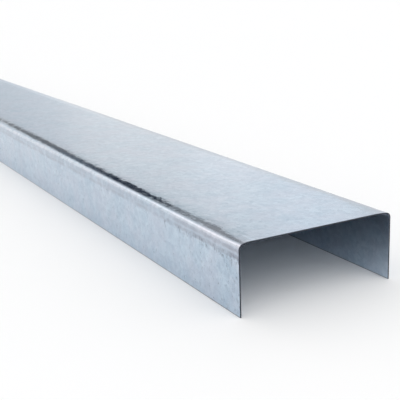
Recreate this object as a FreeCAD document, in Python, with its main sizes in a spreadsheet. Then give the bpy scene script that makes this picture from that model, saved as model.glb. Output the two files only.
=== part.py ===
"""Drywall track: one length of galvanised steel strip, roll-formed into a plain U-shaped channel.

The track lies as it is set down on a floor, web up, on the toes of its two legs.
+X runs along the stock, +Y across the web and +Z up.
The origin is on the floor, midway along the stock and midway between the legs.
"""
import FreeCAD, Part
import math
import os
import Sketcher

DOC = FreeCAD.newDocument("drywall_track")

# Driving dimensions, in millimetres.
# length          10 ft, the length that this stock is sold in
# web_inside      3-5/8 in between the legs, to take a stud of that depth
# leg_height      1-1/2 in from the toe of a leg to the top of the web
# gauge           30 mil sheet, 0.0312 in
# bend_inside     inside radius of the two bends, 3/32 in
# shoulder_reach  width over which the web rolls off towards each bend
# shoulder_fall   how far it falls by the start of the bend
SIZES = {
    "length": 3048.0,
    "web_inside": 92.075,
    "leg_height": 38.1,
    "gauge": 0.792,
    "bend_inside": 2.381,
    "shoulder_reach": 9.0,
    "shoulder_fall": 1.0,
}


def make_sheet(doc, sizes):
    """Spreadsheet of the driving dimensions, one named cell a row."""
    sheet = doc.addObject("Spreadsheet::Sheet", "Sizes")
    for row, (name, value) in enumerate(sizes.items(), start=1):
        sheet.set(f"A{row}", name)
        sheet.set(f"B{row}", str(value))
        sheet.setAlias(f"B{row}", name)
    doc.recompute()
    return sheet


def origin_plane(body, role):
    """One of the body's own origin planes."""
    return next(plane for plane in body.Origin.OriginFeatures if plane.Role == role)


class SectionPlan:
    """Places of the section's arcs, worked out from the sheet: the sketch is drawn near its solved shape."""

    def __init__(self, sheet):
        self.gauge = sheet.gauge
        self.leg_inside = sheet.web_inside / 2
        self.bend_outside = sheet.bend_inside + sheet.gauge
        # The shoulder is an arc that leaves the flat web level and falls by the given amount.
        self.shoulder_outside = (sheet.shoulder_reach**2 + sheet.shoulder_fall**2) / (2 * sheet.shoulder_fall)
        self.slope = math.asin(sheet.shoulder_reach / self.shoulder_outside)
        self.bend_y = self.leg_inside - sheet.bend_inside
        join_y = self.bend_y + self.bend_outside * math.sin(self.slope)
        self.bend_z = sheet.leg_height - sheet.shoulder_fall - self.bend_outside * math.cos(self.slope)
        self.shoulder_y = join_y - sheet.shoulder_reach
        self.shoulder_z = sheet.leg_height - self.shoulder_outside


class SectionSketch:
    """The closed outline of the sheet's cross-section, drawn in the YZ plane and tied to the sheet."""

    START, END, CENTRE = 1, 2, 3
    HORIZONTAL_AXIS, VERTICAL_AXIS = -1, -2

    def __init__(self, body, sheet):
        self.sheet = sheet
        self.plan = SectionPlan(sheet)
        self.sketch = body.newObject("Sketcher::SketchObject", "Section")
        self.sketch.AttachmentSupport = [(origin_plane(body, "YZ_Plane"), "")]
        self.sketch.MapMode = "FlatFace"

    def line(self, y0, z0, y1, z1):
        """A straight run of the outline."""
        run = Part.LineSegment(FreeCAD.Vector(y0, z0, 0), FreeCAD.Vector(y1, z1, 0))
        return self.sketch.addGeometry(run, False)

    def arc(self, y, z, radius, from_angle, to_angle):
        """A round stretch of the outline, drawn anticlockwise."""
        circle = Part.Circle(FreeCAD.Vector(y, z, 0), FreeCAD.Vector(0, 0, 1), radius)
        return self.sketch.addGeometry(Part.ArcOfCircle(circle, from_angle, to_angle), False)

    def tie(self, *terms):
        """One geometric constraint."""
        return self.sketch.addConstraint(Sketcher.Constraint(*terms))

    def drive(self, name, *terms):
        """One dimension that takes its value from the sheet's cell of the same name."""
        self.sketch.renameConstraint(self.tie(*terms, getattr(self.sheet, name)), name)
        self.sketch.setExpression(f"Constraints.{name}", f"Sizes.{name}")

    def skin(self, offset):
        """One face of the sheet, from toe to toe, at a depth below the outer face."""
        plan = self.plan
        leg = plan.leg_inside + plan.gauge - offset
        bend = plan.bend_outside - offset
        shoulder = plan.shoulder_outside - offset
        top = plan.shoulder_z + shoulder
        upright = math.pi / 2
        ids = {
            "leg_right": self.line(leg, 0, leg, plan.bend_z),
            "bend_right": self.arc(plan.bend_y, plan.bend_z, bend, 0, upright - plan.slope),
            "shoulder_right": self.arc(
                plan.shoulder_y, plan.shoulder_z, shoulder, upright - plan.slope, upright
            ),
            "web": self.line(plan.shoulder_y, top, -plan.shoulder_y, top),
            "shoulder_left": self.arc(
                -plan.shoulder_y, plan.shoulder_z, shoulder, upright, upright + plan.slope
            ),
            "bend_left": self.arc(-plan.bend_y, plan.bend_z, bend, upright + plan.slope, math.pi),
            "leg_left": self.line(-leg, plan.bend_z, -leg, 0),
        }
        runs = list(ids.values())
        for run, following in zip(runs, runs[1:]):
            self.tie("Tangent", run, self.END, following, self.START)
        return ids

    def draw(self):
        """Both faces of the sheet, closed by the toes, with every size driven from the sheet."""
        outer = self.skin(0)
        inner = self.skin(self.plan.gauge)
        toes = self.close_toes(outer, inner)
        for piece in ("bend_right", "shoulder_right", "shoulder_left", "bend_left"):
            self.tie("Coincident", inner[piece], self.CENTRE, outer[piece], self.CENTRE)
        self.square_up(outer, inner, toes)
        self.drive("web_inside", "DistanceX", inner["leg_left"], self.END, inner["leg_right"], self.START)
        self.drive("leg_height", "DistanceY", outer["leg_right"], self.START, outer["web"], self.START)
        self.drive("gauge", "DistanceX", inner["leg_right"], self.START, outer["leg_right"], self.START)
        self.drive("bend_inside", "Radius", inner["bend_right"])
        shoulder = outer["shoulder_right"]
        self.drive("shoulder_reach", "DistanceX", shoulder, self.END, shoulder, self.START)
        self.drive("shoulder_fall", "DistanceY", shoulder, self.START, shoulder, self.END)
        return self.sketch

    def close_toes(self, outer, inner):
        """The two cut edges on the floor, across the thickness of the sheet."""
        leg_in, leg_out = self.plan.leg_inside, self.plan.leg_inside + self.plan.gauge
        right = self.line(leg_in, 0, leg_out, 0)
        self.tie("Coincident", right, self.START, inner["leg_right"], self.START)
        self.tie("Coincident", right, self.END, outer["leg_right"], self.START)
        left = self.line(-leg_out, 0, -leg_in, 0)
        self.tie("Coincident", left, self.START, outer["leg_left"], self.END)
        self.tie("Coincident", left, self.END, inner["leg_left"], self.END)
        return {"right": right, "left": left}

    def square_up(self, outer, inner, toes):
        """The web level, the legs upright and alike, and the toes on the floor."""
        for face in (outer, inner):
            self.tie("Vertical", face["leg_right"])
            self.tie("Vertical", face["leg_left"])
        for toe in toes.values():
            self.tie("Horizontal", toe)
        self.tie("Equal", toes["left"], toes["right"])
        self.tie("PointOnObject", outer["leg_right"], self.START, self.HORIZONTAL_AXIS)
        for piece in ("bend", "shoulder"):
            self.tie("Equal", outer[f"{piece}_left"], outer[f"{piece}_right"])
        for piece, first, other, second in (
            ("leg_left", self.END, "leg_right", self.START),
            ("web", self.START, "web", self.END),
        ):
            self.tie("Symmetric", outer[piece], first, outer[other], second, self.VERTICAL_AXIS)


def make_track(doc, sheet):
    """The roll-formed channel: the section run out along the stock, half each way from the middle."""
    body = doc.addObject("PartDesign::Body", "track")
    body.Label = "track"
    section = SectionSketch(body, sheet).draw()
    doc.recompute()
    pad = body.newObject("PartDesign::Pad", "Run")
    pad.Profile = section
    pad.SideType = "Symmetric"
    pad.setExpression("Length", "Sizes.length")
    body.Tip = pad
    doc.recompute()
    return body


def check(doc, subparts):
    """Stops if an object failed, a sketch is left loose or a sub-part is not one valid solid."""
    for item in doc.Objects:
        if "Invalid" in item.State or "Error" in item.State:
            raise RuntimeError(f"{item.Name} did not compute: {item.State}")
        if item.isDerivedFrom("Sketcher::SketchObject") and not item.FullyConstrained:
            raise RuntimeError(f"{item.Name} has a size or place that nothing sets")
    for subpart in subparts:
        shape = subpart.Shape
        if shape.isNull() or not shape.isValid() or len(shape.Solids) != 1:
            raise RuntimeError(f"{subpart.Label} is not one valid solid")


def main():
    """Builds the track and writes its solid."""
    sheet = make_sheet(DOC, SIZES)
    track = make_track(DOC, sheet)
    check(DOC, [track])
    os.makedirs("parts", exist_ok=True)
    track.Shape.exportStep(f"parts/{track.Label}.step")


main()
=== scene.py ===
"""Looks of a drywall track: a length of galvanised sheet steel, roll-formed into a U-shaped channel.

The channel lies web up on a pale studio floor, on the toes of its legs. Sizes are in metres, in the
part's own frame: +X along the stock towards the near end, +Y across the web towards the far leg, +Z up.
"""
import logging
import math
from collections.abc import Callable
from dataclasses import dataclass
from enum import Enum
from functools import cached_property

import bmesh
import bpy
from mathutils import Matrix, Vector


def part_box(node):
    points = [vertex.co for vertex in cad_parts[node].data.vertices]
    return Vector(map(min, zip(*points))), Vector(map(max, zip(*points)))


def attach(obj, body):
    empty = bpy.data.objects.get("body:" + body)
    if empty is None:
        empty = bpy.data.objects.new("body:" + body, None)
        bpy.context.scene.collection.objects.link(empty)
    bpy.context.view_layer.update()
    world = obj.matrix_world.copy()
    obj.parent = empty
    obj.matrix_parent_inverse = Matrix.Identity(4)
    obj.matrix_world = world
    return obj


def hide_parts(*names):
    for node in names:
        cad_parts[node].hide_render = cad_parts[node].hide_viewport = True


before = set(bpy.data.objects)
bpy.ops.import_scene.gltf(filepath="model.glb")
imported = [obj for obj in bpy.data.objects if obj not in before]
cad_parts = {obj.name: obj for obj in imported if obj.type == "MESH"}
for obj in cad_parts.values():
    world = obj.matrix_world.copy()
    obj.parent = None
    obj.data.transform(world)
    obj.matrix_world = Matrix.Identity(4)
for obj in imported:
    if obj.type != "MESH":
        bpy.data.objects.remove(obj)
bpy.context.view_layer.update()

NODE = "track"
BODY = "root"
MM = 0.001
LOG = logging.getLogger("drywall_track")

Colour = tuple[float, float, float]
Axes = tuple[float, float, float]
Socket = bpy.types.NodeSocket

# The level that noise swings about.
NOISE_MEAN = 0.5
# Dirt that is ground into the zinc.
GRIME: Colour = (0.13, 0.15, 0.19)


class Side(Enum):
    """The two sides of the channel, by the sign of Y."""

    NEAR = -1
    FAR = 1


class Surface(Enum):
    """Material places of the sheet: its two rolled faces, and the edges where it was slit or sheared."""

    ROLLED = 0
    CUT = 1


def grey(level: float) -> Colour:
    """A neutral colour."""
    return (level, level, level)


def unit(share: float) -> float:
    """A share kept between 0 and 1."""
    return min(max(share, 0.0), 1.0)


def ease(share: float) -> float:
    """A share between 0 and 1, eased at both ends."""
    return share**2 * (3.0 - 2.0 * share)


def runs_along(edge: bmesh.types.BMEdge) -> bool:
    """Whether an edge runs along the stock, and not across it."""
    run = edge.verts[1].co - edge.verts[0].co
    return abs(run.x) > abs(run.y)


def deselect_all() -> None:
    """Leaves nothing selected and no object active in edit mode."""
    if bpy.context.object and bpy.context.object.mode != "OBJECT":
        bpy.ops.object.mode_set(mode="OBJECT")
    bpy.ops.object.select_all(action="DESELECT")


@dataclass(frozen=True)
class Step:
    """A soft step, which begins at low and ends at high, and the levels before and after it."""

    low: float
    high: float
    before: float = 0.0
    after: float = 1.0


@dataclass(frozen=True)
class Cloud:
    """Cloudy noise.

    The grain is the size of a cloud, in the units of the place that it lies on. Detail is how many finer
    layers it has, and roughness is how strong they are. Drawn scales each axis of the place first, so that
    clouds run long where it is small.
    """

    grain: float
    detail: float = 2.0
    roughness: float = 0.5
    drawn: Axes | None = None


@dataclass(frozen=True)
class Flecks:
    """Small dark marks.

    The cover is how thickly they lie, with the worn cover added where the stock was handled. The share is
    how strongly they show. Drawn scales each axis, so that they run long where it is small.
    """

    size: float
    cover: float
    share: float
    worn_cover: float = 0.0
    drawn: Axes | None = None


class NodeBench:
    """Places and wires the nodes of one node tree."""

    def __init__(self, tree: bpy.types.NodeTree) -> None:
        """Takes the tree to work in."""
        self.tree = tree

    def put(self, target: Socket, value: object) -> None:
        """Wires a socket to an input, or sets a plain value on it.

        Args:
            target: the input.
            value: the socket or the plain value.
        """
        if isinstance(value, bpy.types.NodeSocket):
            self.tree.links.new(value, target)
        else:
            target.default_value = value

    def add(
        self, kind: str, inputs: dict[str | int, object] | None = None, **settings: object
    ) -> bpy.types.Node:
        """Adds a node.

        Args:
            kind: Blender's name for the type of node.
            inputs: sockets to wire in, or plain values, by the input's name or number.
            settings: the node's own properties.

        Returns:
            The new node.
        """
        node = self.tree.nodes.new(kind)
        for name, value in settings.items():
            setattr(node, name, value)
        for name, value in (inputs or {}).items():
            self.put(node.inputs[name], value)
        return node

    def group(self, group: bpy.types.NodeTree, **inputs: object) -> bpy.types.Node:
        """Places a node group."""
        return self.add("ShaderNodeGroup", inputs, node_tree=group)

    def math(self, operation: str, first: Socket | float, second: Socket | float = 0.0) -> Socket:
        """One sum on two values, by Blender's name for the sum."""
        return self.add("ShaderNodeMath", {0: first, 1: second}, operation=operation).outputs[0]

    def vector(self, operation: str, *values: Socket | Axes) -> Socket:
        """One sum on vectors, by Blender's name for the sum."""
        return self.add("ShaderNodeVectorMath", dict(enumerate(values)), operation=operation).outputs[0]

    def product(self, first: Socket, *others: Socket | float) -> Socket:
        """Multiplies values.

        Args:
            first: the first value.
            others: what it is multiplied by, one after another.

        Returns:
            The socket that holds the result.
        """
        for other in others:
            first = self.math("MULTIPLY", first, other)
        return first

    def total(self, first: Socket | float, *others: Socket | float) -> Socket:
        """Adds values up.

        Args:
            first: the first value.
            others: what is added to it, one after another.

        Returns:
            The socket that holds the result.
        """
        for other in others:
            first = self.math("ADD", first, other)
        return first

    def sloped(self, value: Socket, slope: float, start: float) -> Socket:
        """A straight line over a value: at the start where the value is 0, and the slope more at 1."""
        return self.total(self.product(value, slope), start)

    def swing(self, noise: Socket, by: Socket | float) -> Socket:
        """Noise as a swing to both sides of 0."""
        return self.product(self.math("SUBTRACT", noise, NOISE_MEAN), by)

    def stretch(self, place: Socket, scale: Socket | Axes) -> Socket:
        """The place with each axis scaled."""
        return self.vector("MULTIPLY", place, scale)

    def in_units(self, place: Socket, size: Socket) -> Socket:
        """The place measured in widths of a pattern."""
        scale = self.math("DIVIDE", 1.0, size)
        return self.add("ShaderNodeVectorMath", {0: place, "Scale": scale}, operation="SCALE").outputs[0]

    def ramp(self, value: Socket, step: Step) -> Socket:
        """A soft step from one level to another.

        Args:
            value: what is measured.
            step: where the step lies, and its levels.

        Returns:
            The socket that holds the level.
        """
        sockets = {
            "Value": value,
            "From Min": step.low,
            "From Max": step.high,
            "To Min": step.before,
            "To Max": step.after,
        }
        return self.add("ShaderNodeMapRange", sockets, interpolation_type="SMOOTHSTEP").outputs["Result"]

    def noise(self, place: Socket, cloud: Cloud) -> Socket:
        """Cloudy noise.

        Args:
            place: where on the piece.
            cloud: the kind of noise.

        Returns:
            The socket that holds the noise.
        """
        if cloud.drawn is not None:
            place = self.stretch(place, cloud.drawn)
        sockets = {
            "Vector": place,
            "Scale": 1.0 / cloud.grain,
            "Detail": cloud.detail,
            "Roughness": cloud.roughness,
        }
        return self.add("ShaderNodeTexNoise", sockets).outputs["Fac"]

    def blend(self, share: Socket | float, first: Socket | Colour, second: Socket | Colour) -> Socket:
        """A mix of two colours.

        Args:
            share: how much of the second colour.
            first: the colour where the share is 0.
            second: the colour where the share is 1.

        Returns:
            The socket that holds the mixed colour.
        """
        node = self.add("ShaderNodeMix", {"Factor": share}, data_type="RGBA")
        for name, colour in (("A", first), ("B", second)):
            socket = next(s for s in node.inputs if s.name == name and s.type == "RGBA")
            self.put(socket, (*colour, 1.0) if isinstance(colour, tuple) else colour)
        return next(s for s in node.outputs if s.type == "RGBA")

    def bump(
        self, height: Socket, depth: float, strength: float = 1.0, under: Socket | None = None
    ) -> Socket:
        """Low relief.

        Args:
            height: the relief, from 0 to 1.
            depth: how deep a height of 1 is.
            strength: how strongly the relief shows.
            under: the normal that it is laid over, where there is one.

        Returns:
            The socket that holds the normal.
        """
        sockets = {"Height": height, "Strength": strength, "Distance": depth}
        if under is not None:
            sockets["Normal"] = under
        return self.add("ShaderNodeBump", sockets).outputs[0]


class GroupBench(NodeBench):
    """A shader node group in the making."""

    def __init__(self, name: str, inputs: dict[str, float | None], outputs: tuple[str, ...]) -> None:
        """Starts the group.

        Args:
            name: the group's name.
            inputs: each input and its usual value, or None for the place on the piece.
            outputs: the values that it puts out.
        """
        super().__init__(bpy.data.node_groups.new(name, "ShaderNodeTree"))
        for label, value in inputs.items():
            kind = "NodeSocketVector" if value is None else "NodeSocketFloat"
            socket = self.tree.interface.new_socket(label, in_out="INPUT", socket_type=kind)
            if value is not None:
                socket.default_value = value
        for label in outputs:
            self.tree.interface.new_socket(label, in_out="OUTPUT", socket_type="NodeSocketFloat")
        self.read = self.add("NodeGroupInput").outputs
        self.write = self.add("NodeGroupOutput").inputs

    def give(self, **values: Socket) -> bpy.types.NodeTree:
        """Puts values out by name, which finishes the group.

        Args:
            values: the socket for each output.

        Returns:
            The finished group.
        """
        for label, value in values.items():
            self.put(self.write[label], value)
        return self.tree


class Coat(NodeBench):
    """A material in the making."""

    def __init__(self, name: str) -> None:
        """Starts the material.

        Args:
            name: the material's name.
        """
        self.material = bpy.data.materials.new(name)
        self.material.use_nodes = True
        super().__init__(self.material.node_tree)
        self.shader = self.tree.nodes["Principled BSDF"]

    @cached_property
    def place(self) -> Socket:
        """Where on the piece a point lies."""
        return self.add("ShaderNodeTexCoord").outputs["Object"]

    def feed(self, name: str, value: object) -> None:
        """Wires a socket to the shader, or sets a constant on the shader's own socket."""
        self.put(self.shader.inputs[name], value)


@dataclass(frozen=True)
class Crystals:
    """What crystals of one size put out: their tone, their feathering and their relief."""

    tone: Socket
    feather: Socket
    relief: Socket


@dataclass
class Effects:
    """Surface effects that the finishes share, each one node group.

    Inside a group, sizes are in widths of its own crystal, fleck or mark. The wander is how far a crystal's
    edge strays, and the pulls are how much the drift and the cover add to a fleck.
    """

    usual_crystal: float = 3.0 * MM
    wander: float = 0.9
    wander_scale: float = 1.3
    wander_detail: float = 3.0
    feather_axis: Axes = (0.4, 0.5, 0.75)
    feather_comb: Axes = (7.0, 2.45, 7.0)
    feather_grain: Cloud = Cloud(1.0, 3.0, 0.65)
    crystal_relief: float = 0.6
    feather_relief: float = 0.4
    usual_fleck: float = 1.0 * MM
    usual_cover: float = 0.5
    fleck_grain: Cloud = Cloud(1.0, 1.5)
    fleck_drift: Cloud = Cloud(24.0)
    drift_pull: float = 0.18
    cover_pull: float = 0.12
    fleck_edge: Step = Step(0.68, 0.82)
    rub_length: float = 90.0 * MM
    rub_width: float = 0.8 * MM
    rub_grain: Cloud = Cloud(1.0, 4.0, 0.6)

    def __post_init__(self) -> None:
        """Builds the groups once."""
        self.zinc_spangle = self.make_spangle()
        self.dark_flecks = self.make_flecks()
        self.roll_rubs = self.make_rubs()

    def make_spangle(self) -> bpy.types.NodeTree:
        """Zinc crystals: flat patches of slightly different tone, each feathered in its own direction.

        Returns:
            The group, which puts out the crystals' tone, their feathering and their relief.
        """
        inputs = {"Place": None, "Crystal": self.usual_crystal}
        bench = GroupBench("zinc_spangle", inputs, ("Tone", "Feather", "Relief"))
        spread = bench.in_units(bench.read["Place"], bench.read["Crystal"])
        sockets = {"Vector": spread, "Scale": self.wander_scale, "Detail": self.wander_detail}
        cloud = bench.add("ShaderNodeTexNoise", sockets).outputs["Color"]
        push = bench.vector("SUBTRACT", cloud, grey(NOISE_MEAN))
        ragged = bench.vector("MULTIPLY_ADD", push, (self.wander,) * 3, spread)
        cells = bench.add("ShaderNodeTexVoronoi", {"Vector": ragged, "Scale": 1.0}).outputs["Color"]
        tone, turn, rise = bench.add("ShaderNodeSeparateColor", {0: cells}).outputs
        sockets = {"Vector": spread, "Axis": self.feather_axis, "Angle": bench.product(turn, math.tau)}
        turned = bench.add("ShaderNodeVectorRotate", sockets, rotation_type="AXIS_ANGLE").outputs[0]
        feather = bench.noise(bench.stretch(turned, self.feather_comb), self.feather_grain)
        crystal_part = bench.product(rise, self.crystal_relief)
        feather_part = bench.product(feather, self.feather_relief)
        return bench.give(Tone=tone, Feather=feather, Relief=bench.total(crystal_part, feather_part))

    def make_flecks(self) -> bpy.types.NodeTree:
        """Small dark flecks, gathered in loose drifts.

        Returns:
            The group, which puts out a mask of the flecks.
        """
        inputs = {"Place": None, "Size": self.usual_fleck, "Cover": self.usual_cover}
        bench = GroupBench("dark_flecks", inputs, ("Mask",))
        spread = bench.in_units(bench.read["Place"], bench.read["Size"])
        grains = bench.noise(spread, self.fleck_grain)
        drift = bench.swing(bench.noise(spread, self.fleck_drift), self.drift_pull)
        cover = bench.product(bench.read["Cover"], self.cover_pull)
        return bench.give(Mask=bench.ramp(bench.total(grains, drift, cover), self.fleck_edge))

    def make_rubs(self) -> bpy.types.NodeTree:
        """Fine marks drawn along the stock by the forming rolls.

        Returns:
            The group, which puts out the marks as noise.
        """
        inputs = {"Place": None, "Length": self.rub_length, "Width": self.rub_width}
        bench = GroupBench("roll_rubs", inputs, ("Marks",))
        along = bench.math("DIVIDE", 1.0, bench.read["Length"])
        across = bench.math("DIVIDE", 1.0, bench.read["Width"])
        scale = bench.add("ShaderNodeCombineXYZ", {0: along, 1: across, 2: across}).outputs[0]
        drawn = bench.stretch(bench.read["Place"], scale)
        return bench.give(Marks=bench.noise(drawn, self.rub_grain))

    def crystals(self, coat: Coat, size: float) -> Crystals:
        """Lays zinc crystals of one size in a material."""
        outputs = coat.group(self.zinc_spangle, Place=coat.place, Crystal=size).outputs
        return Crystals(outputs["Tone"], outputs["Feather"], outputs["Relief"])

    def flecks(self, coat: Coat, flecks: Flecks, worn: Socket | None = None) -> Socket:
        """Lays flecks in a material.

        Args:
            coat: the material in the making.
            flecks: the kind of flecks.
            worn: how much the piece was handled, where that adds to them.

        Returns:
            The socket that holds their mask.
        """
        place = coat.place if flecks.drawn is None else coat.stretch(coat.place, flecks.drawn)
        cover = flecks.cover if worn is None else coat.sloped(worn, flecks.worn_cover, flecks.cover)
        return coat.group(self.dark_flecks, Place=place, Size=flecks.size, Cover=cover).outputs["Mask"]

    def rubs(self, coat: Coat) -> Socket:
        """Lays the rolls' fine marks in a material."""
        return coat.group(self.roll_rubs, Place=coat.place).outputs["Marks"]


@dataclass(frozen=True)
class Places:
    """Where the finish changes over the channel.

    The end is measured along the stock from its middle, and handled is how far in from there the handling
    marks go.
    The two lines are heights above the toes. The shoulder and the leg's faces are measured across, from the
    middle of the web. The fades are how wide the soft edges are.
    """

    end: float
    handled: float = 110.0 * MM
    roll_line: float = 30.5 * MM
    bend_line: float = 33.8 * MM
    fleck_fade: float = 2.0 * MM
    flecks_above: float = 0.2
    shoulder_inner: float = 35.3 * MM
    shoulder_outer: float = 44.5 * MM
    inner_fade: float = 2.0 * MM
    outer_fade: float = 1.0 * MM
    leg_faces: Step = Step(46.25 * MM, 46.55 * MM, before=0.15)


class Areas:
    """Masks of the channel's areas, in one material."""

    def __init__(self, coat: Coat, places: Places) -> None:
        """Measures where on the channel a point lies.

        Args:
            coat: the material in the making.
            places: where the finish changes.
        """
        self.coat = coat
        self.places = places
        along, across, self.height = coat.add("ShaderNodeSeparateXYZ", {0: coat.place}).outputs
        self.along = coat.math("ABSOLUTE", along)
        self.across = coat.math("ABSOLUTE", across)

    @cached_property
    def worn(self) -> Socket:
        """How much the stock was handled: 1 at both ends, and fading inwards."""
        end = self.places.end
        return self.coat.ramp(self.along, Step(end - self.places.handled, end))

    @cached_property
    def outside(self) -> Socket:
        """Mask of the legs' outer faces, which the rolls and the handling touched most."""
        return self.coat.ramp(self.across, self.places.leg_faces)

    @cached_property
    def flecked(self) -> Socket:
        """How strongly the sheet is flecked: fully outside the legs, below the rolls' lines.

        Returns:
            The socket that holds the mask.
        """
        places = self.places
        low = Step(places.roll_line - places.fleck_fade, places.bend_line, 1.0, places.flecks_above)
        return self.coat.product(self.coat.ramp(self.height, low), self.outside)

    @cached_property
    def bends(self) -> Socket:
        """Mask of the bends, and of the outer half of the shoulders.

        Returns:
            The socket that holds the mask.
        """
        places = self.places
        middle = (places.shoulder_inner + places.shoulder_outer) / 2
        wide = self.coat.ramp(self.across, Step(middle, places.shoulder_outer))
        high = self.coat.ramp(self.height, Step(places.roll_line, places.bend_line))
        return self.coat.product(wide, high)

    @cached_property
    def shoulders(self) -> Socket:
        """Mask of the shoulders, where forming crazed the zinc.

        Returns:
            The socket that holds the mask.
        """
        inner, outer = self.places.shoulder_inner, self.places.shoulder_outer
        rising = Step(inner, inner + self.places.inner_fade)
        falling = Step(outer - self.places.outer_fade, outer, 1.0, 0.0)
        return self.coat.product(self.coat.ramp(self.across, rising), self.coat.ramp(self.across, falling))


@dataclass(frozen=True)
class RollMarks:
    """What the forming rolls left outside each leg: two rubbed lines, a band over both, and scuffs below.

    The line's core and fade, and the scuffs' spread, are in half widths of a line.
    """

    tone: Colour = (0.28, 0.295, 0.35)
    line_half: float = 1.3 * MM
    line_core: float = 0.3
    line_fade: float = 1.3
    bend_line_share: float = 0.1
    roll_line_share: float = 0.25
    worn_share: float = 0.45
    band_share: Step = Step(0.0, 1.0, 0.28, 0.18)
    edge_wear: Cloud = Cloud(2.0 * MM, 3.0, 0.6, drawn=(0.35, 1.0, 1.0))
    edge_sway: float = 2.4 * MM
    gaps: Cloud = Cloud(7.0 * MM, 2.0, 0.6)
    gap_edge: Step = Step(0.35, 0.6, before=0.35)
    scuffs: Flecks = Flecks(0.8 * MM, cover=0.25, share=0.75, worn_cover=1.5, drawn=(1.0, 1.0, 0.35))
    scuff_spread: float = 1.5

    def lay(self, areas: Areas, effects: Effects, colour: Socket) -> Socket:
        """Lays the marks over the colour, with scuffs that thicken towards the ends.

        Args:
            areas: masks of the channel's areas.
            effects: the shared surface effects.
            colour: the zinc's colour.

        Returns:
            The socket that holds the rubbed colour.
        """
        coat, roll_line, bend_line = areas.coat, areas.places.roll_line, areas.places.bend_line
        for height, share in ((bend_line, self.bend_line_share), (roll_line, self.roll_line_share)):
            strength = coat.sloped(areas.worn, self.worn_share, share)
            line = self.line(areas, height, self.line_half)
            colour = coat.blend(coat.product(line, strength), colour, self.tone)
        band = self.line(areas, (bend_line + roll_line) / 2, (bend_line - roll_line) / 2 + self.line_half)
        strength = coat.ramp(areas.worn, self.band_share)
        colour = coat.blend(coat.product(band, strength), colour, self.tone)
        lower = self.line(areas, roll_line - self.line_half, self.scuff_spread * self.line_half)
        scuffs = coat.product(effects.flecks(coat, self.scuffs, areas.worn), lower, self.scuffs.share)
        return coat.blend(scuffs, colour, GRIME)

    def line(self, areas: Areas, height: float, half: float) -> Socket:
        """Mask of one line that a roll rubbed along each leg, with a worn edge.

        Args:
            areas: masks of the channel's areas.
            height: how high up the leg the line runs.
            half: half the line's width.

        Returns:
            The socket that holds the mask.
        """
        coat = areas.coat
        sway = coat.swing(coat.noise(coat.place, self.edge_wear), self.edge_sway)
        apart = coat.math("SUBTRACT", coat.total(areas.height, sway), height)
        edge = Step(self.line_core * half, self.line_fade * half, 1.0, 0.0)
        line = coat.ramp(coat.math("ABSOLUTE", apart), edge)
        broken = coat.ramp(coat.noise(coat.place, self.gaps), self.gap_edge)
        return coat.product(line, broken, areas.outside)


@dataclass(frozen=True)
class ShoulderCrazing:
    """Crazed zinc over the shoulders: deep near the ends, where the cut sheet sprang, and lower inwards."""

    ripple: Cloud = Cloud(4.0 * MM, drawn=(0.5, 1.0, 1.0))
    depth: float = 0.2 * MM
    reach: float = 300.0 * MM
    inward_share: float = 0.6

    def lay(self, areas: Areas, normal: Socket) -> Socket:
        """Lays the crazing over the relief.

        Args:
            areas: masks of the channel's areas.
            normal: the zinc's own relief.

        Returns:
            The socket that holds the normal.
        """
        coat, end = areas.coat, areas.places.end
        ripple = coat.swing(coat.noise(coat.place, self.ripple), areas.shoulders)
        deepening = Step(end - self.reach, end - self.reach / 2, before=self.inward_share)
        height = coat.product(ripple, coat.ramp(areas.along, deepening))
        return coat.bump(height, self.depth, under=normal)


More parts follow.
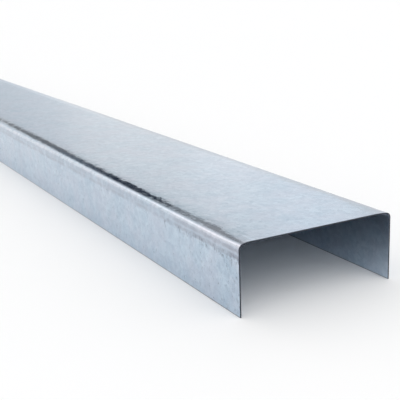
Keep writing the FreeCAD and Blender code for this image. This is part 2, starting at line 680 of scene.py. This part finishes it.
@dataclass(frozen=True)
class GalvanisedFinish:
    """Hot-dip zinc on rolled sheet: cool grey, finely spangled, rubbed along the bends by the rolls.

    Each share is how much its own part shows in the zinc's tone or colour.
    """

    places: Places
    roll_marks: RollMarks = RollMarks()
    crazing: ShoulderCrazing = ShoulderCrazing()
    flecks: Flecks = Flecks(1.1 * MM, cover=0.45, share=0.32, worn_cover=0.4, drawn=(1.0, 1.0, 0.45))
    pale_zinc: Colour = (0.652, 0.753, 0.845)
    dull_zinc: Colour = (0.334, 0.436, 0.547)
    crystal: float = 2.6 * MM
    small_crystal: float = 1.17 * MM
    blotches: Cloud = Cloud(9.0 * MM, 2.0, 0.6)
    patches: Cloud = Cloud(45.0 * MM, 3.0, 0.55)
    crystal_share: float = 0.28
    feather_share: float = 0.28
    small_share: float = 0.14
    rub_share: float = 0.14
    blotch_share: float = 0.38
    patch_share: float = 0.36
    warm_zinc: Colour = (0.62, 0.60, 0.69)
    warm_patches: Cloud = Cloud(16.0 * MM, 4.0, 0.6)
    warm_share: Step = Step(0.35, 0.65, after=0.25)
    burnished_tone: Colour = (0.56, 0.565, 0.635)
    burnished_share: float = 0.45
    # A thin darker line along the bottom edge of each leg, where it meets the floor.
    toe_tone: Colour = (0.20, 0.19, 0.19)
    toe_share: float = 0.7
    toe_width: float = 0.5 * MM
    toe_edge: Cloud = Cloud(3.0 * MM, 3.0, 0.6)
    roughness: float = 0.15
    feather_roughness: float = 0.12
    fleck_roughness: float = 0.2
    burnish: float = 0.06
    relief_depth: float = 0.02 * MM
    relief_strength: float = 0.55
    small_relief: float = 0.5

    def material(self, effects: Effects) -> bpy.types.Material:
        """Makes the material.

        Args:
            effects: the shared surface effects.

        Returns:
            The material of the sheet's rolled faces.
        """
        coat = Coat("galvanised_sheet")
        areas = Areas(coat, self.places)
        crystals = effects.crystals(coat, self.crystal)
        small = effects.crystals(coat, self.small_crystal)
        flecks = coat.product(effects.flecks(coat, self.flecks, areas.worn), areas.flecked)
        colour = coat.blend(self.tone(coat, effects, crystals, small), self.dull_zinc, self.pale_zinc)
        warmth = coat.ramp(coat.noise(coat.place, self.warm_patches), self.warm_share)
        colour = coat.blend(warmth, colour, self.warm_zinc)
        burnished = coat.product(areas.bends, areas.worn, self.burnished_share)
        colour = coat.blend(burnished, colour, self.burnished_tone)
        colour = self.roll_marks.lay(areas, effects, colour)
        colour = coat.blend(coat.product(flecks, self.flecks.share), colour, GRIME)
        # The legs are darker along their bottom edges, where they meet the floor.
        coat.feed("Base Color", coat.blend(self.toe_line(areas), colour, self.toe_tone))
        coat.feed("Roughness", self.dullness(areas, crystals, flecks))
        coat.feed("Normal", self.crazing.lay(areas, self.relief(coat, crystals, small)))
        coat.feed("Metallic", 1.0)
        return coat.material

    def tone(self, coat: Coat, effects: Effects, crystals: Crystals, small: Crystals) -> Socket:
        """How pale the zinc is, from dull 0 to pale 1.

        Args:
            coat: the material in the making.
            effects: the shared surface effects.
            crystals: the crystals.
            small: smaller crystals between them.

        Returns:
            The socket that holds the tone.
        """
        shares = (
            (crystals.tone, self.crystal_share),
            (crystals.feather, self.feather_share),
            (small.tone, self.small_share),
            (effects.rubs(coat), self.rub_share),
            (coat.noise(coat.place, self.blotches), self.blotch_share),
            (coat.noise(coat.place, self.patches), self.patch_share),
        )
        start = NOISE_MEAN * (1.0 - sum(share for _, share in shares))
        return coat.total(start, *(coat.product(value, share) for value, share in shares))

    def toe_line(self, areas: Areas) -> Socket:
        """Mask of a thin darker line along the bottom edge of each leg, where it stands on the floor.

        Args:
            areas: masks of the channel's areas.

        Returns:
            The socket that holds the mask.
        """
        coat = areas.coat
        # How far the darker line's upper edge strays along the leg.
        toe_sway = coat.product(coat.noise(coat.place, self.toe_edge), self.toe_width)
        edge = Step(0.0, self.toe_width, self.toe_share, 0.0)
        return coat.ramp(coat.math("SUBTRACT", areas.height, toe_sway), edge)

    def dullness(self, areas: Areas, crystals: Crystals, flecks: Socket) -> Socket:
        """The zinc's roughness, which the flecks raise and the rolls lowered over the shoulders.

        Args:
            areas: masks of the channel's areas.
            crystals: the crystals.
            flecks: mask of the flecks.

        Returns:
            The socket that holds the roughness.
        """
        coat = areas.coat
        feathered = coat.swing(crystals.feather, self.feather_roughness)
        rough = coat.total(feathered, self.roughness, coat.product(flecks, self.fleck_roughness))
        return coat.math("SUBTRACT", rough, coat.product(areas.shoulders, self.burnish))

    def relief(self, coat: Coat, crystals: Crystals, small: Crystals) -> Socket:
        """Low relief of the crystals, as a normal."""
        height = coat.total(crystals.relief, coat.product(small.relief, self.small_relief))
        return coat.bump(height, self.relief_depth, self.relief_strength)


@dataclass(frozen=True)
class CutEdgeFinish:
    """Bare steel where the sheet was slit and sheared, with fine tool marks across its thickness, and
    painted shade: far darker than bare steel, so that the edges read as dark lines.
    """

    # Both tones are bare steel and painted shade: far darker than bare steel, so that the cut edges read as
    # dark lines.
    edge_steel_and_shade_light: Colour = (0.09, 0.10, 0.125)
    edge_steel_and_shade_dark: Colour = (0.015, 0.018, 0.026)
    tool_marks: Cloud = Cloud(0.5 * MM, 4.0, 0.65)
    mark_depth: float = 0.05 * MM
    mark_strength: float = 0.5
    flecks: Flecks = Flecks(0.6 * MM, cover=0.6, share=0.6)
    roughness: float = 0.30
    mark_roughness: float = 0.25

    def material(self, effects: Effects) -> bpy.types.Material:
        """Makes the material.

        Args:
            effects: the shared surface effects.

        Returns:
            The material of the sheet's cut edges.
        """
        coat = Coat("sheared_edge")
        marks = coat.noise(coat.place, self.tool_marks)
        # Painted shade: the tool marks vary between two tones far darker than bare steel.
        colour = coat.blend(marks, self.edge_steel_and_shade_dark, self.edge_steel_and_shade_light)
        flecks = coat.product(effects.flecks(coat, self.flecks), self.flecks.share)
        coat.feed("Base Color", coat.blend(flecks, colour, self.edge_steel_and_shade_dark))
        coat.feed("Roughness", coat.sloped(marks, self.mark_roughness, self.roughness))
        coat.feed("Normal", coat.bump(marks, self.mark_depth, self.mark_strength))
        coat.feed("Metallic", 1.0)
        return coat.material


@dataclass(frozen=True)
class FloorFinish:
    """Matt white studio floor."""

    white: Colour = (0.938, 0.941, 0.945)
    roughness: float = 0.9
    shine: float = 0.1

    def material(self) -> bpy.types.Material:
        """Makes the material.

        Returns:
            The material of the floor.
        """
        coat = Coat("studio_floor")
        coat.feed("Base Color", (*self.white, 1.0))
        coat.feed("Roughness", self.roughness)
        coat.feed("Specular IOR Level", self.shine)
        return coat.material


class Fold:
    """How the sheet leaves the flat of the web on one side, rolls off at the shoulder and turns down."""

    def __init__(self, side: Side, fall: float, channel: "TrackChannel") -> None:
        """Works out the arcs.

        Args:
            side: which leg.
            fall: how far the web falls over the shoulder.
            channel: the channel that is folded.
        """
        reach, radius = channel.shoulder_reach, channel.bend_inside + channel.gauge
        shoulder_radius = (reach**2 + fall**2) / (2 * fall)
        self.slope = math.asin(reach / shoulder_radius)
        bend_y = channel.half_width - radius
        bend_z = channel.height - fall - radius * math.cos(self.slope)
        self.flat_y = side.value * (bend_y + radius * math.sin(self.slope) - reach)
        self.shoulder_centre = Vector((0.0, self.flat_y, channel.height - shoulder_radius))
        self.bend_centre = Vector((0.0, side.value * bend_y, bend_z))


@dataclass
class TrackChannel:
    """The roll-formed channel as one sheet, bent along two lines.

    The long cuts divide the stock in rounds, each one cutting every span again. The end cuts are depths
    from an end. Points closer together than the weld are merged, and those closer to the web's edge than
    on_rim are taken as on it.
    """

    gauge: float = 0.792 * MM
    bend_inside: float = 2.381 * MM
    shoulder_reach: float = 9.0 * MM
    near_fall: float = 1.3 * MM
    far_fall: float = 0.6 * MM
    web_strips: int = 12
    leg_strips: int = 8
    bend_steps: int = 16
    shoulder_steps: int = 6
    long_cuts: tuple[int, ...] = (100, 2)
    end_cuts: tuple[float, ...] = tuple(
        depth * MM for depth in (0.6, 1.5, 3, 6, 9, 12, 15, 18, 22, 26, 32, 36)
    )
    on_rim: float = 0.01 * MM
    weld: float = 0.001 * MM
    edge_round: float = 0.07 * MM
    edge_steps: int = 2
    edge_angle: float = math.radians(60.0)
    spring_lift: float = 0.8 * MM
    spring_reach: float = 30.0 * MM
    wave_length: float = 220.0 * MM
    wave_height: float = 0.35 * MM
    smooth_angle: float = math.radians(20.0)

    def __post_init__(self) -> None:
        """Reads the overall sizes from the frame and works out where the sheet bends."""
        low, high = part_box(NODE)
        self.near_end, self.far_end = high[0], low[0]
        self.half_width, self.height = high[1], high[2]
        self.folds = {
            Side.NEAR: Fold(Side.NEAR, self.near_fall, self),
            Side.FAR: Fold(Side.FAR, self.far_fall, self),
        }

    def build(self, effects: Effects) -> bpy.types.Object:
        """Models the channel and dresses it.

        Args:
            effects: the shared surface effects.

        Returns:
            The finished piece, at the origin.
        """
        piece = self.lay_web()
        for side in Side:
            self.fold_side(piece, side)
        self.cut_ends()
        bpy.ops.object.mode_set(mode="OBJECT")
        self.spring_corner(piece)
        self.waver(piece)
        self.dress(piece, effects)
        self.thicken(piece)
        self.seat(piece)
        return piece

    def lay_web(self) -> bpy.types.Object:
        """Lays the flat of the web as a plane, divided into strips.

        Returns:
            The piece, in edit mode.
        """
        deselect_all()
        bpy.ops.mesh.primitive_plane_add(size=1.0, location=(0.0, 0.0, self.height))
        piece = bpy.context.object
        piece.name = "track_channel"
        piece.data.name = "track_channel"
        near, far = (self.folds[side].flat_y for side in Side)
        piece.scale = (self.near_end - self.far_end, far - near, 1.0)
        piece.location.y = (near + far) / 2
        bpy.ops.object.transform_apply(location=True, rotation=True, scale=True)
        bpy.ops.object.mode_set(mode="EDIT")
        bpy.ops.mesh.select_mode(type="EDGE")
        self.pick(piece, lambda edge: not runs_along(edge))
        bpy.ops.mesh.subdivide(number_cuts=self.web_strips - 1)
        for cuts in self.long_cuts:
            self.pick(piece, runs_along)
            bpy.ops.mesh.subdivide(number_cuts=cuts)
        return piece

    def pick(self, piece: bpy.types.Object, wanted: Callable[[bmesh.types.BMEdge], bool]) -> None:
        """Selects edges.

        Args:
            piece: the piece in edit mode.
            wanted: tells whether to take an edge.
        """
        mesh = bmesh.from_edit_mesh(piece.data)
        for edge in mesh.edges:
            edge.select_set(wanted(edge))
        mesh.select_flush_mode()
        bmesh.update_edit_mesh(piece.data)

    def fold_side(self, piece: bpy.types.Object, side: Side) -> None:
        """Rolls the sheet off at the shoulder, round the bend and down the leg.

        Args:
            piece: the piece in edit mode.
            side: which leg.
        """
        fold = self.folds[side]
        self.pick(piece, lambda edge: all(abs(end.co.y - fold.flat_y) < self.on_rim for end in edge.verts))
        along = (1.0, 0.0, 0.0)
        turn = side.value * fold.slope
        bpy.ops.mesh.spin(steps=self.shoulder_steps, angle=turn, center=fold.shoulder_centre, axis=along)
        turn = side.value * (math.pi / 2 - fold.slope)
        bpy.ops.mesh.spin(steps=self.bend_steps, angle=turn, center=fold.bend_centre, axis=along)
        drop = -fold.bend_centre.z / self.leg_strips
        for _ in range(self.leg_strips):
            bpy.ops.mesh.extrude_region_move(TRANSFORM_OT_translate={"value": (0.0, 0.0, drop)})

    def cut_ends(self) -> None:
        """Cuts the mesh more closely near both ends, where the shear worked the sheet."""
        for end, inward in ((self.near_end, -1.0), (self.far_end, 1.0)):
            for depth in self.end_cuts:
                bpy.ops.mesh.select_all(action="SELECT")
                bpy.ops.mesh.bisect(plane_co=(end + inward * depth, 0.0, 0.0), plane_no=(1.0, 0.0, 0.0))
        bpy.ops.mesh.select_all(action="SELECT")
        bpy.ops.mesh.remove_doubles(threshold=self.weld)
        bpy.ops.mesh.normals_make_consistent(inside=False)

    def spring_corner(self, piece: bpy.types.Object) -> None:
        """Lifts the near leg's bend at the near end, where the cut sheet sprang back and rolls off less.

        Args:
            piece: the channel.
        """
        fold = self.folds[Side.NEAR]
        sprung = piece.vertex_groups.new(name="sprung_corner")
        for corner in piece.data.vertices:
            near_end = unit(1.0 - (self.near_end - corner.co.x) / self.spring_reach)
            near_bend = unit((fold.flat_y - corner.co.y) / self.shoulder_reach)
            raised = unit(corner.co.z / fold.bend_centre.z)
            sprung.add([corner.index], near_end**2 * ease(near_bend) * raised, "REPLACE")
        lift = piece.modifiers.new("sprung_corner", "DISPLACE")
        lift.vertex_group = sprung.name
        lift.direction = "Z"
        lift.mid_level = 0.0
        lift.strength = self.spring_lift
        bpy.ops.object.modifier_apply(modifier=lift.name)
        piece.vertex_groups.clear()

    def waver(self, piece: bpy.types.Object) -> None:
        """Gives the sheet the slight long waves that rolled sheet has, too low to change its sizes.

        Args:
            piece: the channel.
        """
        cloud = bpy.data.textures.new("roll_waves", type="CLOUDS")
        cloud.noise_scale = self.wave_length
        waves = piece.modifiers.new("roll_waves", "DISPLACE")
        waves.texture = cloud
        waves.texture_coords = "LOCAL"
        waves.strength = self.wave_height
        bpy.ops.object.modifier_apply(modifier=waves.name)

    def dress(self, piece: bpy.types.Object, effects: Effects) -> None:
        """Gives the sheet its finishes, before its thickness brings the cut edges.

        Args:
            piece: the channel.
            effects: the shared surface effects.
        """
        finishes = {
            Surface.ROLLED: GalvanisedFinish(Places(self.near_end)),
            Surface.CUT: CutEdgeFinish(),
        }
        piece.data.materials.clear()
        for surface in Surface:
            piece.data.materials.append(finishes[surface].material(effects))

    def thicken(self, piece: bpy.types.Object) -> None:
        """Gives the sheet its gauge, with slightly rounded cut edges.

        Args:
            piece: the channel.
        """
        wall = piece.modifiers.new("gauge", "SOLIDIFY")
        wall.thickness = self.gauge
        wall.offset = -1.0
        wall.use_even_offset = True
        wall.material_offset_rim = Surface.CUT.value
        rounding = piece.modifiers.new("edge_round", "BEVEL")
        rounding.width = self.edge_round
        rounding.segments = self.edge_steps
        rounding.limit_method = "ANGLE"
        rounding.angle_limit = self.edge_angle
        for modifier in (wall, rounding):
            bpy.ops.object.modifier_apply(modifier=modifier.name)
        bpy.ops.object.shade_smooth_by_angle(angle=self.smooth_angle)

    def seat(self, piece: bpy.types.Object) -> None:
        """Puts the piece in the CAD node's place.

        Args:
            piece: the channel.
        """
        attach(piece, BODY)
        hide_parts(NODE)


@dataclass(frozen=True)
class DomePatch:
    """One soft-edged area of the studio's light dome.

    The heading is 0 along the stock, away from the near end, and positive towards the far leg. The patch
    is full inside its core and gone outside its fade. All four are angles in degrees.
    """

    heading: float
    height: float
    core: float
    fade: float
    tone: Colour

    def direction(self) -> Vector:
        """The way to the middle of the patch."""
        turn, lift = math.radians(self.heading), math.radians(self.height)
        return Vector((-math.cos(turn) * math.cos(lift), math.sin(turn) * math.cos(lift), math.sin(lift)))

    def edge(self) -> Step:
        """The soft edge, over the cosine of the angle from the middle."""
        return Step(math.cos(math.radians(self.fade)), math.cos(math.radians(self.core)))


@dataclass
class Studio:
    """Plain pale floor under a soft light dome.

    Later patches lie over earlier ones. The room is what lights the floor and the bends, the web's shade is
    the slow change of tone along the web, the verge is the shade on the web beside the near bend, and the
    band is what the near shoulder mirrors as a ragged dark band.
    """

    floor_half: float = 150.0
    dome_tone: Colour = grey(1.0)
    room: tuple[DomePatch, ...] = (
        DomePatch(0.0, 90.0, 20.0, 55.0, grey(0.6)),
        DomePatch(180.0, -12.0, 28.0, 50.0, grey(0.7)),
        DomePatch(180.0, 58.0, 20.0, 36.0, grey(1.85)),
        DomePatch(-90.0, 45.0, 15.0, 40.0, grey(1.03)),
        DomePatch(-20.0, 12.0, 8.0, 20.0, (1.18, 1.12, 1.08)),
        DomePatch(-20.0, 31.0, 9.0, 12.0, (1.6, 1.48, 1.42)),
    )
    web_shade: tuple[DomePatch, ...] = (
        DomePatch(32.5, 13.0, 2.0, 6.0, (1.05, 1.06, 1.07)),
        DomePatch(8.0, 6.0, 4.0, 16.0, (0.69, 0.74, 0.79)),
        DomePatch(28.0, 2.5, 4.0, 9.0, grey(0.84)),
        DomePatch(44.0, 8.0, 5.0, 13.0, grey(0.84)),
        DomePatch(36.8, 15.4, 2.0, 5.0, (0.975, 1.0, 1.03)),
    )
    verge: tuple[DomePatch, ...] = (
        DomePatch(13.0, 14.6, 3.6, 7.5, grey(0.8)),
        DomePatch(18.0, 17.2, 3.6, 7.5, grey(0.8)),
        DomePatch(23.0, 19.7, 3.6, 7.5, grey(0.8)),
        DomePatch(29.0, 22.9, 3.6, 7.5, grey(0.8)),
        DomePatch(15.2, 11.0, 0.8, 3.0, (0.67, 0.69, 0.72)),
        DomePatch(17.3, 12.0, 0.8, 2.7, (0.70, 0.72, 0.75)),
    )
    band: tuple[DomePatch, ...] = (
        DomePatch(8.0, 27.0, 2.5, 6.0, grey(0.5)),
        DomePatch(17.5, 29.0, 2.0, 4.5, grey(0.4)),
        DomePatch(21.5, 28.0, 1.5, 4.0, grey(0.32)),
        DomePatch(19.4, 24.6, 0.8, 2.4, grey(0.4)),
        DomePatch(16.2, 26.3, 0.8, 2.4, grey(0.33)),
        DomePatch(12.6, 25.4, 0.8, 2.6, grey(0.1)),
        DomePatch(12.3, 16.5, 1.7, 4.2, grey(0.2)),
        DomePatch(12.6, 21.8, 2.2, 4.6, (0.16, 0.18, 0.21)),
        DomePatch(15.6, 22.8, 2.7, 3.6, (0.0, 0.01, 0.03)),
    )

    def build(self) -> None:
        """Lays the floor and lights the dome."""
        self.lay_floor()
        self.light_dome()

    def lay_floor(self) -> None:
        """Lays a wide level plane at the height of the toes."""
        deselect_all()
        bpy.ops.mesh.primitive_plane_add(size=2 * self.floor_half, location=(0.0, 0.0, 0.0))
        floor = bpy.context.object
        floor.name = "studio_floor"
        floor.data.materials.append(FloorFinish().material())

    def light_dome(self) -> None:
        """Makes the world: pale all round, with each patch laid over it."""
        world = bpy.data.worlds.new("studio_dome")
        world.use_nodes = True
        bpy.context.scene.world = world
        bench = NodeBench(world.node_tree)
        way = bench.add("ShaderNodeTexCoord").outputs["Generated"]
        colour: Socket | Colour = self.dome_tone
        for patch in self.room + self.web_shade + self.verge + self.band:
            sockets = {0: way, 1: patch.direction()}
            facing = bench.add("ShaderNodeVectorMath", sockets, operation="DOT_PRODUCT").outputs["Value"]
            colour = bench.blend(bench.ramp(facing, patch.edge()), colour, patch.tone)
        bench.put(world.node_tree.nodes["Background"].inputs["Color"], colour)


@dataclass
class PhotoCamera:
    """Camera beside the near end, above the near leg, looking back along the stock.

    The focal length and the frame's width are in the photo's pixels, and the sensor is in millimetres.
    """

    past_end: float = 313.384 * MM
    beside: float = -236.09 * MM
    above: float = 163.359 * MM
    heading: float = math.radians(61.576)
    tilt: float = math.radians(15.756)
    roll: float = math.radians(-2.078)
    focal_pixels: float = 818.99
    frame_pixels: float = 400.0
    sensor: float = 36.0
    nearest: float = 10.0 * MM

    def build(self, near_end: float) -> None:
        """Places the camera.

        Args:
            near_end: where the stock's near end is along X.
        """
        data = bpy.data.cameras.new("photo_camera")
        data.sensor_width = self.sensor
        data.lens = self.focal_pixels / self.frame_pixels * self.sensor
        data.clip_start = self.nearest
        camera = bpy.data.objects.new("photo_camera", data)
        bpy.context.scene.collection.objects.link(camera)
        level = math.cos(self.tilt)
        along, over = -math.sin(self.heading) * level, math.cos(self.heading) * level
        ahead = Vector((along, over, -math.sin(self.tilt)))
        right = ahead.cross(Vector((0.0, 0.0, 1.0))).normalized()
        up = right.cross(ahead)
        across = math.cos(self.roll) * right + math.sin(self.roll) * up
        upright = math.cos(self.roll) * up - math.sin(self.roll) * right
        turn = Matrix((across, upright, -ahead)).transposed()
        place = Vector((near_end + self.past_end, self.beside, self.above))
        camera.matrix_world = Matrix.Translation(place) @ turn.to_4x4()
        bpy.context.scene.camera = camera


def main() -> None:
    """Builds the channel, its studio and its camera, and reports each piece."""
    logging.basicConfig(level=logging.INFO, format="%(name)s: %(message)s")
    bpy.context.scene.view_settings.view_transform = "Standard"
    channel = TrackChannel()
    piece = channel.build(Effects())
    LOG.info("%s has %d faces", piece.name, len(piece.data.polygons))
    Studio().build()
    PhotoCamera().build(channel.near_end)
    LOG.info("studio and camera in place")


if __name__ == "__main__":
    main()
